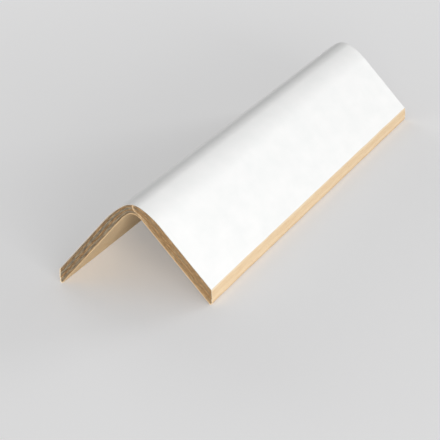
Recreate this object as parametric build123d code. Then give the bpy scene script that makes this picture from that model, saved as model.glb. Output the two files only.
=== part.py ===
from build123d import *
import os
from math import cos, pi, radians, sin, tan

# A white-faced board edge protector: paper plies glued flat, then folded along their middle
# and pressed thinner at the fold. It stands as a tent on its two long edges. +Y runs along
# the fold and +Z points up through it. The origin is on the floor, below the fold's middle.

# Driving dimensions, in millimetres and degrees
LENGTH = 230.0
FLANGE = 50.0  # sharp outer corner to the furthest point of a flange
THICKNESS = 4.5
OPENING = 83.5  # angle between the flanges, folded a little past square
EDGE_SLANT = 4.0  # how much further down the flange the inner face runs than the outer
HEEL_DEPTH = 3.0  # depth at which a long edge turns from its slant to nearly square
HEEL_SETBACK = 0.3  # how far the heel stands short of the furthest point

# The fold: a tight crown between two easy shoulders, each an arc. The radii at the inner
# face are smaller than the thickness alone would make them, since the fold is pressed.
CROWN_TURN = 30.0  # on each side of the middle
OUTER_CROWN_RADIUS = 6.8
INNER_CROWN_RADIUS = 3.5
OUTER_SHOULDER_RADIUS = 32.0
INNER_SHOULDER_RADIUS = 9.6

# Make-up of the laminate, from the outer face inwards
FACING = 0.35  # white paper
LINER = 0.35  # smooth kraft paper, also wrapped round the long edges
CORE_PLIES = 8
GLUE_LINE = 0.59  # share of the thickness at which two bundles of plies were glued together

# Long edges
OUTER_ARRIS_RADIUS = 0.7
HEEL_RADIUS = 2.0
INNER_ARRIS_RADIUS = 0.5
GROOVE_RADIUS = 0.35

# Cut ends
PLY_STEP = 0.2  # most that one ply stands proud of another
PLY_RHYTHM = 2.4  # turn in radians from one ply to the next, which makes their lengths uneven

FLANGE_FALL = radians(90 - OPENING / 2)  # slope of a flange below the horizontal
CROWN_FALL = radians(CROWN_TURN)  # slope where the crown meets a shoulder


def between(outer, inner, depth):
    """A value that changes evenly from the outer face to the inner one."""
    return outer + (inner - outer) * depth / THICKNESS


def flange_end(depth):
    """Where the right flange's surface ends at a depth, measured from the sharp outer corner."""
    down = Vector(cos(FLANGE_FALL), -sin(FLANGE_FALL))
    inward = Vector(-sin(FLANGE_FALL), -cos(FLANGE_FALL))
    if depth < HEEL_DEPTH:
        setback = EDGE_SLANT - (EDGE_SLANT - HEEL_SETBACK) * depth / HEEL_DEPTH
    else:
        setback = HEEL_SETBACK * (THICKNESS - depth) / (THICKNESS - HEEL_DEPTH)
    return down * (FLANGE - setback) + inward * depth


def half_surface(depth):
    """Right half of the surface at a depth below the outer face: crown, shoulder and flange."""
    crown_radius = between(OUTER_CROWN_RADIUS, INNER_CROWN_RADIUS, depth)
    shoulder_radius = between(OUTER_SHOULDER_RADIUS, INNER_SHOULDER_RADIUS, depth)
    shoulder_out = shoulder_radius * (sin(FLANGE_FALL) - sin(CROWN_FALL))
    shoulder_drop = shoulder_radius * (cos(CROWN_FALL) - cos(FLANGE_FALL))
    out = crown_radius * sin(CROWN_FALL) + shoulder_out
    drop = crown_radius * (1 - cos(CROWN_FALL)) + shoulder_drop
    sharp_corner = -depth / cos(FLANGE_FALL)
    crown_height = sharp_corner - out * tan(FLANGE_FALL) + drop
    crown = JernArc((0, crown_height), (1, 0), crown_radius, -CROWN_TURN)
    shoulder = JernArc(crown @ 1, crown % 1, shoulder_radius, CROWN_TURN - FLANGE_FALL * 180 / pi)
    return [crown, shoulder, Line(shoulder @ 1, flange_end(depth))]


def layer(top, bottom):
    """Section of the laminate between two depths below the outer face."""
    above = half_surface(top)
    below = half_surface(bottom)
    middle = Line(above[0] @ 0, below[0] @ 0)
    edge_depths = sorted({top, min(max(top, HEEL_DEPTH), bottom), bottom})
    edge = Polyline(*[flange_end(depth) for depth in edge_depths])
    half = make_face(above + [edge] + below + [middle])
    return half + mirror(half, about=Plane.YZ)


def nearest_corner(section, point):
    """The corner of a section that lies nearest to a point."""
    return min(section.vertices(), key=lambda corner: (Vector(corner) - point).length)


def left(point):
    """The same point on the left flange."""
    return Vector(-point.X, point.Y)


def outline():
    """Whole section, with soft long edges and a groove along each of them at the glue line."""
    section = layer(0, THICKNESS)
    corners = ((0, OUTER_ARRIS_RADIUS), (HEEL_DEPTH, HEEL_RADIUS), (THICKNESS, INNER_ARRIS_RADIUS))
    for depth, radius in corners:
        corner = flange_end(depth)
        pair = [nearest_corner(section, corner), nearest_corner(section, left(corner))]
        section = fillet(pair, radius)
    glue_line = flange_end(GLUE_LINE * THICKNESS)
    for centre in (glue_line, left(glue_line)):
        section -= Pos(centre.X, centre.Y) * Circle(GROOVE_RADIUS)
    return section


def ply_depths():
    """Depths of the layer boundaries: facing, core plies and liner."""
    core = THICKNESS - FACING - LINER
    return [0] + [FACING + core * ply / CORE_PLIES for ply in range(CORE_PLIES + 1)] + [THICKNESS]


def laminate(section):
    """Layers glued face to face, each cut to its own slightly uneven length."""
    board = None
    depths = ply_depths()
    for index, (top, bottom) in enumerate(zip(depths, depths[1:])):
        setback = PLY_STEP * (1 - cos(PLY_RHYTHM * index)) / 2
        ply = extrude(Plane.XZ * (layer(top, bottom) & section), LENGTH / 2 - setback, both=True)
        board = ply if board is None else board + ply
    return board


board = laminate(outline())
board = Pos(0, 0, -board.bounding_box().min.Z) * board

os.makedirs("parts", exist_ok=True)
export_step(board, "parts/edge_protector.step")
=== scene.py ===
from math import ceil, cos, pi, radians, sin, tan

import bpy
import numpy as np
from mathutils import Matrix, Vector, noise


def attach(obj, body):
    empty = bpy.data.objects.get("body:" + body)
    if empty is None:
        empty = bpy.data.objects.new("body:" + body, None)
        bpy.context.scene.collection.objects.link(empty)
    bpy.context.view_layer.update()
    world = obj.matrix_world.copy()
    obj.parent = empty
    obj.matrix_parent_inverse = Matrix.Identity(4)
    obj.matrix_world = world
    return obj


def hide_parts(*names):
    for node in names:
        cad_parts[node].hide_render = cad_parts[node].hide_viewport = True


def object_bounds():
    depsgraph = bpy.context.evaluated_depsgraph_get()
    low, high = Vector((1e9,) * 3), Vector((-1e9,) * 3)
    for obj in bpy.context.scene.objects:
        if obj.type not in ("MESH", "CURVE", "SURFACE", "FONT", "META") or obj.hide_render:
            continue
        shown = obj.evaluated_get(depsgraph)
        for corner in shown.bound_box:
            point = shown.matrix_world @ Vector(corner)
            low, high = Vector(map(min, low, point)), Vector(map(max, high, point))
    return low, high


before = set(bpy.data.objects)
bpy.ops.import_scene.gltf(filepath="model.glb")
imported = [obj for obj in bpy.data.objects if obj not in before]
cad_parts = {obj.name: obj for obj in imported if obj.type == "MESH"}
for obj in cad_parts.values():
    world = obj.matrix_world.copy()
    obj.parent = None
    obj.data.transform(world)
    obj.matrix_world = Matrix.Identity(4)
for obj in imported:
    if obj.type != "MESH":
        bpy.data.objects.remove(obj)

# A white-faced edge protector of laminated board, standing as a tent on its two long edges.
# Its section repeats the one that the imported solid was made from, in millimetres and degrees.
MM = 0.001
FLANGE = 50.0  # sharp outer corner to the furthest point of a flange
THICKNESS = 4.5
OPENING = 83.5
EDGE_SLANT = 4.0  # how much further down the flange the inner face runs than the outer
HEEL_DEPTH = 3.0  # depth at which a long edge turns from its slant to nearly square
HEEL_SETBACK = 0.3
CROWN_TURN = 30.0  # on each side of the middle
OUTER_CROWN_RADIUS = 6.8
INNER_CROWN_RADIUS = 3.5
OUTER_SHOULDER_RADIUS = 32.0
INNER_SHOULDER_RADIUS = 9.6

# Make-up of the laminate, from the outer face inwards
FACING = 0.35
LINER = 0.35
CORE_PLIES = 8
CORE = THICKNESS - FACING - LINER
GLUE_DEPTH = 0.59 * THICKNESS  # where two bundles of plies were glued together

# Long edges
OUTER_ARRIS_RADIUS = 0.7
HEEL_RADIUS = 2.0
INNER_ARRIS_RADIUS = 0.5
GROOVE_HALF_WIDTH = 0.45
GROOVE_DEPTH = 0.22
NOTCH_DEPTH = 0.45  # the groove where it runs out at a cut end
EDGE_WANDER = 0.12  # most that the long edge strays inwards along its length
WRAP = 0.4  # thickness of the kraft paper that goes round the long edges

# Cut ends
PLY_STEP = 0.2  # most that one ply stands proud of another
PLY_RHYTHM = 2.4  # turn in radians from one ply to the next, which makes their lengths uneven
PLY_CREVICE = 0.09  # depth of the fine groove between two plies
PLY_WANDER = 0.05
FIBRE_RELIEF = 0.04
GAP_DEPTH = 0.8  # slit between the left flange's liner and its core, next to the fold
SEAM_HALF_WIDTH = 0.26  # crease of pale paper pushed up through the fold
DEEPEST = 0.9

# Fineness of the mesh
FACING_ROWS = 3
PLY_ROWS = 4
LINER_ROWS = 5
CROWN_COLUMNS = 16
SHOULDER_COLUMNS = 24
FLANGE_COLUMNS = 56
TIP_COLUMNS = 16
TIP_LENGTH = 3.0  # last stretch of a flange, with finer columns
END_RING = 0.6  # distance of the first full ring from a cut end
RING_SPACING = 2.2

FLANGE_FALL = radians(90 - OPENING / 2)  # slope of a flange below the horizontal
CROWN_FALL = radians(CROWN_TURN)  # slope where the crown meets a shoulder

# Section of a long edge: (depth, distance down the flange) of its corners, between the two faces
EDGE_CORNERS = [
    (0, 0),
    (0, FLANGE - EDGE_SLANT),
    (HEEL_DEPTH, FLANGE - HEEL_SETBACK),
    (THICKNESS, FLANGE),
    (THICKNESS, 0),
]
EDGE_RADII = [OUTER_ARRIS_RADIUS, HEEL_RADIUS, INNER_ARRIS_RADIUS]

cad_low, cad_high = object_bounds()
LENGTH = (cad_high.y - cad_low.y) / MM
FLOOR_HEIGHT = cad_low.z / MM


# Shape

def between(outer, inner, depth):
    """A value that changes evenly from the outer face to the inner one."""
    return outer + (inner - outer) * depth / THICKNESS


def window(value, middle, half_width):
    """1 at the middle and 0 from half a width away, with no corners."""
    offset = np.clip(np.abs(value - middle) / half_width, 0, 1)
    return np.cos(offset * pi / 2) ** 2


def edge_reach(depth):
    """How far down its flange the long edge stands at a depth, at a cut end."""
    corners = [Vector(corner) for corner in EDGE_CORNERS]
    reach = np.interp(depth, [corner.x for corner in corners[1:4]], [corner.y for corner in corners[1:4]])
    for before, corner, after, radius in zip(corners, corners[1:], corners[2:], EDGE_RADII):
        back = (before - corner).normalized()
        ahead = (after - corner).normalized()
        half_angle = back.angle(ahead) / 2
        tangent = radius / tan(half_angle)
        if (corner + back * tangent).x <= depth <= (corner + ahead * tangent).x:
            centre = corner + (back + ahead).normalized() * radius / sin(half_angle)
            reach = centre.y + max(radius ** 2 - (depth - centre.x) ** 2, 0) ** 0.5
    return reach - NOTCH_DEPTH * window(depth, GLUE_DEPTH, GROOVE_HALF_WIDTH)


def half_row(depth):
    """Right half of the board at one depth, from the fold's middle: x, height and distance run."""
    crown_radius = between(OUTER_CROWN_RADIUS, INNER_CROWN_RADIUS, depth)
    shoulder_radius = between(OUTER_SHOULDER_RADIUS, INNER_SHOULDER_RADIUS, depth)
    crown_out = crown_radius * sin(CROWN_FALL)
    crown_drop = crown_radius * (1 - cos(CROWN_FALL))
    out = crown_out + shoulder_radius * (sin(FLANGE_FALL) - sin(CROWN_FALL))
    drop = crown_drop + shoulder_radius * (cos(CROWN_FALL) - cos(FLANGE_FALL))
    shoulder_end = -depth / cos(FLANGE_FALL) - out * tan(FLANGE_FALL)
    top = shoulder_end + drop

    turn = np.linspace(0, CROWN_FALL, CROWN_COLUMNS, endpoint=False)
    crown = [crown_radius * np.sin(turn), top - crown_radius * (1 - np.cos(turn)), crown_radius * turn]

    turn = np.linspace(CROWN_FALL, FLANGE_FALL, SHOULDER_COLUMNS, endpoint=False)
    shoulder = [
        crown_out + shoulder_radius * (np.sin(turn) - sin(CROWN_FALL)),
        top - crown_drop - shoulder_radius * (cos(CROWN_FALL) - np.cos(turn)),
        crown_radius * CROWN_FALL + shoulder_radius * (turn - CROWN_FALL),
    ]

    # Down the flange, measured from the sharp outer corner
    start = out * cos(FLANGE_FALL) - shoulder_end * sin(FLANGE_FALL)
    tip_start = edge_reach(depth) - TIP_LENGTH
    down = np.concatenate([
        np.linspace(start, tip_start, FLANGE_COLUMNS, endpoint=False),
        tip_start + np.linspace(0, TIP_LENGTH, TIP_COLUMNS + 1),
    ])
    bend_run = crown_radius * CROWN_FALL + shoulder_radius * (FLANGE_FALL - CROWN_FALL)
    flange = [
        down * cos(FLANGE_FALL) - depth * sin(FLANGE_FALL),
        -down * sin(FLANGE_FALL) - depth * cos(FLANGE_FALL),
        bend_run + down - start,
    ]
    return np.concatenate([crown, shoulder, flange], axis=1)


def row_depths():
    """Depths of the grid's rows, which follow the facing, each core ply and the liner."""
    facing = np.linspace(0, FACING, FACING_ROWS, endpoint=False)
    plies = FACING + np.linspace(0, CORE, CORE_PLIES * PLY_ROWS, endpoint=False)
    liner = THICKNESS - LINER * (1 - np.sin(np.linspace(0, pi / 2, LINER_ROWS + 1)))
    return np.concatenate([facing, plies, liner])


def whole_rows(depths):
    """Both halves of every row, as grids of x, height and distance run from the middle."""
    halves = np.array([half_row(depth) for depth in depths])
    signs = np.array([-1, 1, -1])[None, :, None]
    grid = np.concatenate([halves[:, :, :0:-1] * signs, halves], axis=2)
    return grid[:, 0], grid[:, 1], grid[:, 2]


def rim_distance(x, height):
    """Distance of every grid point from the outline of the nearer long edge."""
    nearest = np.full(x.shape, FLANGE)
    for side in (0, -1):
        for edge_x, edge_height in zip(x[:, side], height[:, side]):
            nearest = np.minimum(nearest, np.hypot(x - edge_x, height - edge_height))
    return nearest


def wave(x, y, z):
    """Smooth seedless noise between about -1 and 1."""
    return noise.noise(Vector((x, y, z)))


waves = np.vectorize(wave)


# Path of the crease through the fold, as distance run and depth
SEAM_PATH = [(0.35, 0.0), (0.45, 1.8), (1.3, 2.9), (3.2, 3.45), (8.0, 3.8)]
SEAM_FADE = (3.0, 9.0)  # distance run over which the crease dies away


def seam_weight(run, depth, end):
    """How strongly each point of a cut end belongs to the crease through the fold."""
    sway = 0.12 * waves(run * 0, depth * 1.3, end * 5.0)
    nearest = np.full(run.shape, FLANGE)
    for (x0, y0), (x1, y1) in zip(SEAM_PATH, SEAM_PATH[1:]):
        share = ((run - sway - x0) * (x1 - x0) + (depth - y0) * (y1 - y0)) / ((x1 - x0) ** 2 + (y1 - y0) ** 2)
        share = np.clip(share, 0, 1)
        offset = np.hypot(run - sway - x0 - share * (x1 - x0), depth - y0 - share * (y1 - y0))
        nearest = np.minimum(nearest, offset)
    fade = 1 - np.clip((run - SEAM_FADE[0]) / (SEAM_FADE[1] - SEAM_FADE[0]), 0, 1)
    broken = np.clip(0.75 + 0.8 * waves(run * 1.5, depth, end * 3.0), 0, 1)
    return np.exp(-(nearest / SEAM_HALF_WIDTH) ** 2) * fade * np.where(run > 1.5, broken, 1)


def gap_weight(run, depth, end):
    """How open the slit beside the left flange's liner is at each point of a cut end."""
    middle = THICKNESS - LINER - 0.18 + 0.06 * waves(run * 0.5, 0, end * 7.0)
    along = np.clip((run + 13) / 8, 0, 1) * np.clip((-1.3 - run) / 0.8, 0, 1)
    ragged = np.clip(0.8 + 0.7 * waves(run * 0.9, 0, end * 2.0), 0.15, 1)
    return window(depth, middle, 0.2) * along * ragged


def end_relief(run, depth, rim, end):
    """How far each point of a cut end stands back from the end's plane, in millimetres."""
    ply_share = (depth - FACING) / CORE * CORE_PLIES
    ply = np.clip(np.floor(ply_share + 1e-6), -1, CORE_PLIES) + 1
    step = PLY_STEP * (1 - np.cos(PLY_RHYTHM * ply)) / 2
    crevice = PLY_CREVICE * (np.abs(ply_share - np.round(ply_share)) < 0.05) * (depth > FACING / 2)
    wander = PLY_WANDER * (1 + waves(run / 7, ply * 2.7, end * 11.0))
    fibre = FIBRE_RELIEF * (1 + waves(run / 0.6, depth / 0.3, end * 4.0))
    relief = step + wander + crevice + fibre
    wrapped = np.exp(-(rim / WRAP) ** 4)
    relief = relief * (1 - wrapped) + 0.04 * wrapped
    relief += PLY_CREVICE * window(rim, WRAP * 1.25, 0.2)
    relief -= 0.14 * seam_weight(run, depth, end)
    relief += GAP_DEPTH * gap_weight(run, depth, end)
    return np.clip(relief, 0, DEEPEST)


def ring_order(rows, columns):
    """Grid places round the board's outline: outer face, right edge, inner face, left edge."""
    outer = [(0, column) for column in range(columns)]
    right = [(row, columns - 1) for row in range(1, rows)]
    inner = [(rows - 1, column) for column in range(columns - 2, -1, -1)]
    left = [(row, 0) for row in range(rows - 2, 0, -1)]
    return outer + right + inner + left


def ring_stations():
    """Places of the full rings along the board, closer together next to the cut ends."""
    half = LENGTH / 2
    close = half - END_RING * np.array([1, 2, 4])
    middle = np.linspace(-close[-1], close[-1], ceil(2 * close[-1] / RING_SPACING) + 1)[1:-1]
    return np.concatenate([-close, middle, close[::-1]])


def ring_inset(run, depth, y):
    """How far a ring's points on the long edges stray inwards at a station along the board."""
    settled = min((LENGTH / 2 - abs(y)) / 6, 1)
    closed = min((LENGTH / 2 - abs(y)) / 2.5, 1)
    side = np.sign(run)
    stray = EDGE_WANDER * (0.5 + waves(side * 3, 0, y / 18))
    ripple = 0.05 * (0.5 + waves(side * 5, depth * 1.6, y / 6))
    groove = (NOTCH_DEPTH - GROOVE_DEPTH) * window(depth, GLUE_DEPTH, GROOVE_HALF_WIDTH)
    return settled * np.clip(stray + ripple, 0, 2 * EDGE_WANDER) - closed * groove


def build_board():
    """The whole board as one closed mesh: two cut ends with their plies, and rings between."""
    depths = row_depths()
    x, height, run = whole_rows(depths)
    height = height + FLOOR_HEIGHT - height.min()
    depth = np.repeat(depths[:, None], x.shape[1], axis=1)
    rim = rim_distance(x, height)
    rows, columns = x.shape
    order = ring_order(rows, columns)
    ring_rows = np.array([row for row, column in order])
    ring_columns = np.array([column for row, column in order])
    ring = (ring_rows, ring_columns)

    points = []
    laminate = []
    details = []
    for end in (-1, 1):
        relief = end_relief(run, depth, rim, end)
        y = end * (LENGTH / 2 - relief)
        points.append(np.stack([x, y, height], axis=2).reshape(-1, 3))
        laminate.append(np.stack([run, depth, y], axis=2).reshape(-1, 3))
        marks = [rim, seam_weight(run, depth, end), gap_weight(run, depth, end)]
        details.append(np.stack(marks, axis=2).reshape(-1, 3))

    edge_share = np.clip(1 - rim[ring] / 0.5, 0, 1)
    on_edge = (ring_columns == 0) | (ring_columns == columns - 1)
    edge_share = np.where(on_edge, 1, edge_share)
    down = np.stack([np.sign(run[ring]) * cos(FLANGE_FALL), np.full(len(order), -sin(FLANGE_FALL))])
    stations = ring_stations()
    for y in stations:
        inset = ring_inset(run[ring], depth[ring], y) * edge_share
        ring_x = x[ring] - inset * down[0]
        ring_height = height[ring] - inset * down[1]
        along = np.full(len(order), y)
        points.append(np.stack([ring_x, along, ring_height], axis=1))
        laminate.append(np.stack([run[ring], depth[ring], along], axis=1))
        empty = np.zeros(len(order))
        details.append(np.stack([rim[ring], empty, empty], axis=1))

    faces = []
    finishes = []
    end_size = rows * columns
    for row in range(rows - 1):
        for column in range(columns - 1):
            a = row * columns + column
            front = (a, a + columns, a + columns + 1, a + 1)
            faces.append(front)
            faces.append(tuple(end_size + place for place in reversed(front)))
            finishes += [PLIES, PLIES]

    front_ring = [row * columns + column for row, column in order]
    rings = [front_ring]
    for number in range(len(stations)):
        first = 2 * end_size + number * len(order)
        rings.append(list(range(first, first + len(order))))
    rings.append([end_size + place for place in front_ring])
    for near, far in zip(rings, rings[1:]):
        for place in range(len(order)):
            after = (place + 1) % len(order)
            faces.append((near[place], near[after], far[after], far[place]))
            outer = order[place][0] == 0 and order[after][0] == 0
            finishes.append(WHITE if outer else KRAFT)

    mesh = bpy.data.meshes.new("board")
    mesh.from_pydata((np.concatenate(points) * MM).tolist(), [], faces)
    for name, values in (("laminate", laminate), ("marks", details)):
        attribute = mesh.attributes.new(name, "FLOAT_VECTOR", "POINT")
        attribute.data.foreach_set("vector", np.concatenate(values).astype(np.float32).ravel())
    mesh.polygons.foreach_set("material_index", finishes)
    mesh.polygons.foreach_set("use_smooth", [True] * len(faces))
    end_ring = set()
    for places in (rings[0], rings[-1]):
        end_ring |= {frozenset(pair) for pair in zip(places, places[1:] + places[:1])}
    for edge in mesh.edges:
        edge.use_edge_sharp = frozenset(edge.vertices) in end_ring
    mesh.update()
    return bpy.data.objects.new("laminated_board", mesh)


# Finishes

WHITE, KRAFT, PLIES = range(3)


def srgb(red, green, blue):
    """A colour as it shows on a screen, from 0 to 255, as the linear values that nodes take."""
    shares = [value / 255 for value in (red, green, blue)]
    linear = [((share + 0.055) / 1.055) ** 2.4 if share > 0.04045 else share / 12.92 for share in shares]
    return (*linear, 1)


class Finish:
    """A material, with short calls for the nodes that the board's finishes are made of."""

    def __init__(self, name, roughness, specular):
        self.material = bpy.data.materials.new(name)
        self.material.use_nodes = True
        self.nodes = self.material.node_tree.nodes
        self.links = self.material.node_tree.links
        self.shader = self.nodes["Principled BSDF"]
        self.shader.inputs["Roughness"].default_value = roughness
        self.shader.inputs["Specular IOR Level"].default_value = specular

    def set(self, socket, value):
        """Links a socket to another, or gives it a plain value."""
        if isinstance(value, bpy.types.NodeSocket):
            self.links.new(value, socket)
        else:
            socket.default_value = value

    def vector(self, name):
        node = self.nodes.new("ShaderNodeAttribute")
        node.attribute_name = name
        return node.outputs["Vector"]

    def part(self, vector, axis):
        node = self.nodes.new("ShaderNodeSeparateXYZ")
        self.set(node.inputs[0], vector)
        return node.outputs[axis]

    def math(self, operation, first, second=0.0, clamp=False):
        node = self.nodes.new("ShaderNodeMath")
        node.operation = operation
        node.use_clamp = clamp
        self.set(node.inputs[0], first)
        self.set(node.inputs[1], second)
        return node.outputs[0]

    def stretch(self, vector, scale):
        node = self.nodes.new("ShaderNodeVectorMath")
        node.operation = "MULTIPLY"
        self.set(node.inputs[0], vector)
        node.inputs[1].default_value = scale
        return node.outputs[0]

    def grain(self, vector, cell, detail=3.0, rough=0.6):
        """Noise whose cells measure so many millimetres along the run, the depth and the length."""
        node = self.nodes.new("ShaderNodeTexNoise")
        self.set(node.inputs["Vector"], self.stretch(vector, [1 / size for size in cell]))
        node.inputs["Scale"].default_value = 1.0
        node.inputs["Detail"].default_value = detail
        node.inputs["Roughness"].default_value = rough
        return node.outputs["Fac"]

    def ramp(self, factor, stops):
        """Colours along a factor, from (place, colour) pairs."""
        node = self.nodes.new("ShaderNodeValToRGB")
        elements = node.color_ramp.elements
        while len(elements) < len(stops):
            elements.new(0.5)
        for element, (place, colour) in zip(elements, stops):
            element.position = place
            element.color = colour
        self.set(node.inputs["Fac"], factor)
        return node.outputs["Color"]

    def span(self, value, low, high, to_low=0.0, to_high=1.0):
        """A value moved smoothly from one range to another."""
        node = self.nodes.new("ShaderNodeMapRange")
        node.interpolation_type = "SMOOTHSTEP"
        self.set(node.inputs["Value"], value)
        node.inputs["From Min"].default_value = low
        node.inputs["From Max"].default_value = high
        node.inputs["To Min"].default_value = to_low
        node.inputs["To Max"].default_value = to_high
        return node.outputs["Result"]

    def mix(self, factor, first, second, blend="MIX"):
        node = self.nodes.new("ShaderNodeMix")
        node.data_type = "RGBA"
        node.blend_type = blend
        self.set(node.inputs["Factor"], factor)
        self.set(node.inputs["A"], first)
        self.set(node.inputs["B"], second)
        return node.outputs["Result"]

    def bump(self, height, distance, strength):
        node = self.nodes.new("ShaderNodeBump")
        node.inputs["Strength"].default_value = strength
        node.inputs["Distance"].default_value = distance
        self.set(node.inputs["Height"], height)
        self.set(self.shader.inputs["Normal"], node.outputs["Normal"])

    def colour(self, value):
        self.set(self.shader.inputs["Base Color"], value)


def white_facing():
    """Smooth white paper, a little mottled, with kraft rubbing through along the long arrises."""
    finish = Finish("white_facing", roughness=0.62, specular=0.35)
    place = finish.vector("laminate")
    rim = finish.part(finish.vector("marks"), "X")
    fibres = finish.grain(place, (0.5, 1, 0.9), detail=4)
    mottle = finish.grain(place, (9, 1, 14), detail=2)
    paper = finish.ramp(mottle, [(0.3, srgb(241, 242, 241)), (0.7, srgb(246, 246, 245))])
    paper = finish.mix(0.06, paper, fibres, "SOFT_LIGHT")
    wear = finish.math("ADD", rim, finish.math("MULTIPLY", finish.grain(place, (0.4, 1, 1.2)), 0.35))
    worn = finish.span(wear, 0.12, 0.34, 0.55, 0.0)
    finish.colour(finish.mix(worn, paper, srgb(214, 194, 168)))
    finish.bump(fibres, 0.02 * MM, 0.4)
    return finish.material


def kraft_paper():
    """Kraft liner, which also wraps the long edges, where the plies under it show as soft bands; the darkest band, at
    about four fifths of the depth, is painted shade of a groove along the edge.
    """
    finish = Finish("kraft_paper", roughness=0.7, specular=0.25)
    place = finish.vector("laminate")
    depth_share = finish.math("DIVIDE", finish.part(place, "Y"), THICKNESS)
    sway = finish.math("MULTIPLY", finish.grain(place, (5, 9, 30), detail=2), 0.1)
    band = finish.math("SUBTRACT", finish.math("ADD", depth_share, sway), 0.05)
    # The dark stops from 0.68 to 0.9 are painted shade of a groove along the long edge, not the paper's own colour.
    bands_and_groove_shade = finish.ramp(band, [
        (0.0, srgb(228, 208, 180)),
        (0.1, srgb(222, 196, 160)),
        (0.3, srgb(220, 193, 156)),
        (0.55, srgb(228, 204, 170)),
        (0.68, srgb(216, 188, 150)),
        (0.8, srgb(200, 169, 130)),
        (0.9, srgb(212, 183, 145)),
        (1.0, srgb(221, 195, 157)),
    ])
    streaks = finish.grain(place, (0.7, 0.22, 9), detail=4, rough=0.65)
    tone = finish.ramp(streaks, [(0.32, srgb(168, 142, 112)), (0.5, srgb(189, 189, 189)), (0.68, srgb(226, 222, 210))])
    paper = finish.mix(0.5, bands_and_groove_shade, tone, "SOFT_LIGHT")
    flecks = finish.grain(place, (0.35, 0.3, 1.1), detail=2)
    paper = finish.mix(finish.span(flecks, 0.66, 0.74, 0.0, 0.45), paper, srgb(240, 228, 205))
    paper = finish.mix(finish.span(flecks, 0.36, 0.28, 0.0, 0.4), paper, srgb(150, 120, 86))
    finish.colour(paper)
    finish.bump(streaks, 0.06 * MM, 0.5)
    return finish.material


def cut_plies():
    """Sawn edge of recycled plies: brown and grey streaks, pale fibres and dark flecks, with painted shade in the slit
    beside the liner.
    """
    finish = Finish("cut_plies", roughness=0.85, specular=0.15)
    place = finish.vector("laminate")
    marks = finish.vector("marks")
    run = finish.part(place, "X")
    depth = finish.part(place, "Y")
    ply = finish.math("FLOOR", finish.math("MULTIPLY", finish.math("SUBTRACT", depth, FACING), CORE_PLIES / CORE))
    tint_node = finish.nodes.new("ShaderNodeTexWhiteNoise")
    tint_node.noise_dimensions = "1D"
    finish.set(tint_node.inputs["W"], ply)
    tint = tint_node.outputs["Value"]

    streaks = finish.grain(place, (2.6, 0.28, 40), detail=4, rough=0.65)
    browns = finish.ramp(streaks, [
        (0.30, srgb(92, 72, 50)),
        (0.43, srgb(126, 98, 68)),
        (0.55, srgb(152, 120, 84)),
        (0.70, srgb(196, 162, 120)),
    ])
    greys = finish.ramp(streaks, [
        (0.30, srgb(82, 76, 66)),
        (0.5, srgb(126, 118, 102)),
        (0.70, srgb(168, 160, 136)),
    ])
    patches = finish.grain(place, (7, 0.5, 40), detail=2)
    grey_share = finish.math("ADD", finish.math("MULTIPLY", tint, 0.5), finish.math("MULTIPLY", patches, 0.7))
    rightward = finish.span(run, -3, 6, 0.0, 0.16)
    grey_share = finish.span(finish.math("SUBTRACT", grey_share, rightward), 0.5, 0.78, 0.0, 0.85)
    board = finish.mix(grey_share, browns, greys)
    board = finish.mix(finish.span(run, -3, 8, 0.0, 0.3), board, srgb(165, 132, 90))

    flecks = finish.grain(place, (0.7, 0.2, 40), detail=2)
    board = finish.mix(finish.span(flecks, 0.62, 0.72, 0.0, 0.7), board, srgb(214, 186, 146))
    board = finish.mix(finish.span(flecks, 0.36, 0.26, 0.0, 0.6), board, srgb(62, 48, 34))

    facing = finish.span(depth, FACING * 1.1, FACING * 0.5, 0.0, 0.8)
    board = finish.mix(facing, board, srgb(206, 202, 194))
    liner = finish.span(depth, THICKNESS - LINER * 1.25, THICKNESS - LINER * 0.7, 0.0, 0.85)
    board = finish.mix(liner, board, srgb(222, 190, 148))
    wrap = finish.span(finish.part(marks, "X"), WRAP * 1.1, WRAP * 0.6, 0.0, 0.9)
    board = finish.mix(wrap, board, srgb(232, 212, 182))
    board = finish.mix(finish.part(marks, "Y"), board, srgb(220, 190, 150))
    # Painted shade: the slit beside the left flange's liner is darkened in colour as well as set back in the mesh.
    board = finish.mix(finish.math("MULTIPLY", finish.part(marks, "Z"), 0.85), board, srgb(46, 34, 24))
    finish.colour(board)
    finish.bump(streaks, 0.12 * MM, 0.7)
    return finish.material


board = build_board()
for make_finish in (white_facing, kraft_paper, cut_plies):
    board.data.materials.append(make_finish())
bpy.context.scene.collection.objects.link(board)
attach(board, "root")
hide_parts("edge_protector")


# Studio

FLOOR_SIZE = 6.0
FLOOR_TONE = (0.74, 0.74, 0.745, 1)
FLOOR_GLOW = 0.24  # lifts the floor in the picture, and throws no light on the board
WORLD_LIGHT = 0.35
CAMERA_PLACE = (0.27105, -0.66497, 0.26149)
CAMERA_TURN = (69.1255, 1.2344, 22.8067)  # degrees
CAMERA_LENS = 149.16
CAMERA_SENSOR = 36.0
LAMP_TARGET = Vector((0, -0.03, 0.02))


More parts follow.
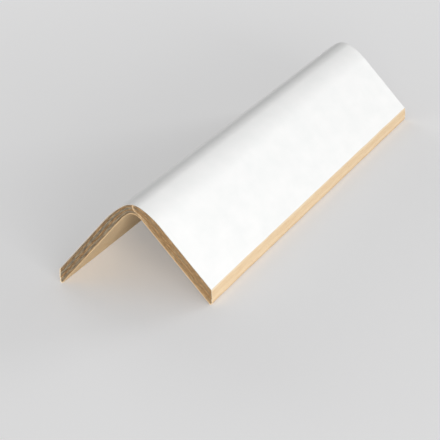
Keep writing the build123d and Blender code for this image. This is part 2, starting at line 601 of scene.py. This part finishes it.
def pale_floor():
    """A plain pale floor under the board."""
    mesh = bpy.data.meshes.new("floor")
    half = FLOOR_SIZE / 2
    mesh.from_pydata([(-half, -half, 0), (half, -half, 0), (half, half, 0), (-half, half, 0)], [], [(0, 1, 2, 3)])
    material = bpy.data.materials.new("pale_floor")
    material.use_nodes = True
    shader = material.node_tree.nodes["Principled BSDF"]
    shader.inputs["Base Color"].default_value = FLOOR_TONE
    shader.inputs["Roughness"].default_value = 0.9
    shader.inputs["Specular IOR Level"].default_value = 0.1
    shader.inputs["Emission Color"].default_value = (1, 1, 1, 1)
    nodes = material.node_tree.nodes
    links = material.node_tree.links
    path = nodes.new("ShaderNodeLightPath")
    seen = path.outputs["Is Camera Ray"]
    for ray in ("Is Glossy Ray", "Is Transmission Ray"):
        total = nodes.new("ShaderNodeMath")
        total.operation = "ADD"
        links.new(seen, total.inputs[0])
        links.new(path.outputs[ray], total.inputs[1])
        seen = total.outputs[0]
    glow = nodes.new("ShaderNodeMath")
    glow.operation = "MULTIPLY"
    glow.inputs[1].default_value = FLOOR_GLOW
    links.new(seen, glow.inputs[0])
    links.new(glow.outputs[0], shader.inputs["Emission Strength"])
    mesh.materials.append(material)
    floor = bpy.data.objects.new("floor", mesh)
    bpy.context.scene.collection.objects.link(floor)


def lamp(name, place, width, height, power):
    """A soft panel lamp that points at the board."""
    light = bpy.data.lights.new(name, "AREA")
    light.shape = "RECTANGLE"
    light.size = width
    light.size_y = height
    light.energy = power
    holder = bpy.data.objects.new(name, light)
    holder.location = place
    holder.rotation_euler = (LAMP_TARGET - Vector(place)).to_track_quat("-Z", "Y").to_euler()
    bpy.context.scene.collection.objects.link(holder)


def soft_light():
    """Even light from all round, a low broad lamp in front on the right and two weaker ones behind."""
    world = bpy.data.worlds.new("studio")
    world.use_nodes = True
    background = world.node_tree.nodes["Background"]
    background.inputs["Color"].default_value = (1, 1, 1, 1)
    background.inputs["Strength"].default_value = WORLD_LIGHT
    bpy.context.scene.world = world
    lamp("key_lamp", (0.8, -1.13, 0.2), 0.8, 0.3, 16.5)
    lamp("right_lamp", (0.72, 1.18, 0.22), 0.8, 0.3, 9)
    lamp("left_lamp", (-1.0, 0.9, 0.35), 0.8, 0.3, 4.5)


def camera():
    """The photograph's view."""
    lens = bpy.data.cameras.new("camera")
    lens.lens = CAMERA_LENS
    lens.sensor_width = CAMERA_SENSOR
    holder = bpy.data.objects.new("camera", lens)
    holder.location = CAMERA_PLACE
    holder.rotation_euler = [radians(angle) for angle in CAMERA_TURN]
    bpy.context.scene.collection.objects.link(holder)
    bpy.context.scene.camera = holder


pale_floor()
soft_light()
camera()
bpy.context.scene.view_settings.view_transform = "Standard"
